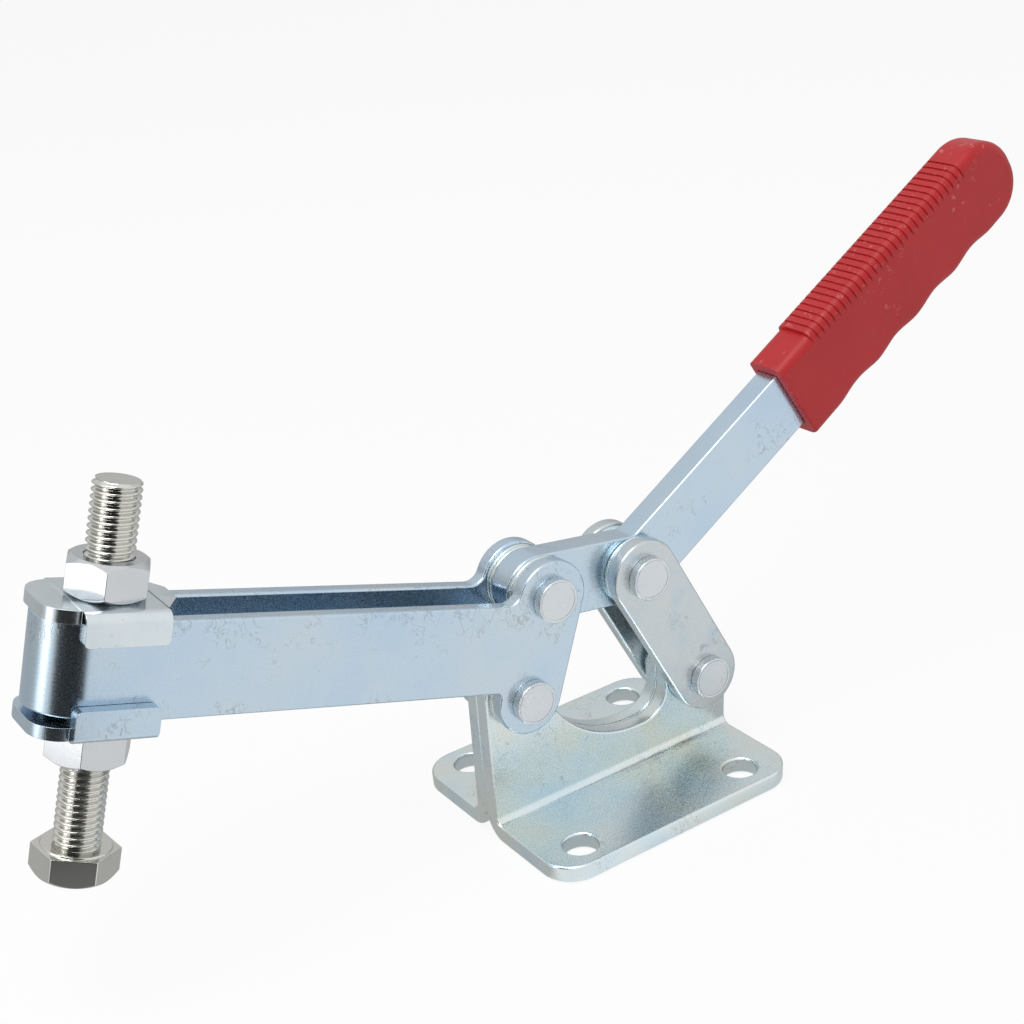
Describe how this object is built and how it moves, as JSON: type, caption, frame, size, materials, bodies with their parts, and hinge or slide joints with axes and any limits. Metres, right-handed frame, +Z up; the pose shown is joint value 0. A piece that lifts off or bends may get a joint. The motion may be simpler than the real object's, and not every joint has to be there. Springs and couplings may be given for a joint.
{
  "type": "toggle clamp",
  "caption": "Hold-down toggle clamp with a flanged base, an open strip arm, a hexagon-bolt spindle and a red moulded handle grip",
  "frame": {"origin": "centre of the base's four mounting holes, on the underside", "axes": "+X towards the handle, -X towards the spindle, +Y across the clamp, +Z up out of the mounting surface; the arm is raised 18 degrees"},
  "size_m": [0.333, 0.0752, 0.1599],
  "materials": {
    "zinc_plate": "zinc-plated pressed steel, satin and slightly mottled",
    "bright_bolt": "bright plated turned steel",
    "red_grip": "red moulded plastic, half gloss"
  },
  "bodies": {
    "base": {"base_bracket_near": "zinc_plate", "base_bracket_far": "zinc_plate"},
    "arm": {"arm": "zinc_plate", "pin_arm": "zinc_plate", "pin_handle": "zinc_plate", "ring_arm_near": "zinc_plate", "ring_arm_far": "zinc_plate", "ring_handle_near": "zinc_plate", "ring_handle_far": "zinc_plate"},
    "handle": {"handle_bar": "zinc_plate", "grip": "red_grip"},
    "link": {"link_near": "zinc_plate", "link_far": "zinc_plate", "pin_link_top": "zinc_plate", "pin_link_base": "zinc_plate", "ring_link_top_near": "zinc_plate", "ring_link_top_far": "zinc_plate", "ring_link_base_near": "zinc_plate", "ring_link_base_far": "zinc_plate"},
    "clamp_set": {"upper_saddle": "zinc_plate", "lower_saddle": "zinc_plate", "upper_nut": "bright_bolt", "lower_nut": "bright_bolt"},
    "spindle": {"spindle_bolt": "bright_bolt"}
  },
  "joints": [
    {"name": "arm_fold", "type": "hinge", "parent": "base", "child": "arm", "pos_m": [-0.029, 0, 0.0433], "axis": [0, 1, 0], "range_deg": [-18, 35]},
    {"name": "handle_fold", "type": "hinge", "parent": "arm", "child": "handle", "pos_m": [-0.01893, 0, 0.07089], "axis": [0, 1, 0], "range_deg": [-60, 32]},
    {"name": "link_fold", "type": "hinge", "parent": "handle", "child": "link", "pos_m": [0.01319, 0, 0.06595], "axis": [0, 1, 0], "range_deg": [-25, 47]},
    {"name": "spindle_slide", "type": "slide", "parent": "arm", "child": "clamp_set", "axis": [-0.9511, 0, 0.309], "range_m": [-0.085, 0.006]},
    {"name": "spindle_height", "type": "slide", "parent": "clamp_set", "child": "spindle", "axis": [0.309, 0, 0.9511], "range_m": [-0.017, 0.0205]}
  ],
  "couplings": [
    {"joint": "handle_fold", "follows": "arm_fold", "ratio": -1.662},
    {"joint": "link_fold", "follows": "arm_fold", "ratio": 1.289}
  ]
}
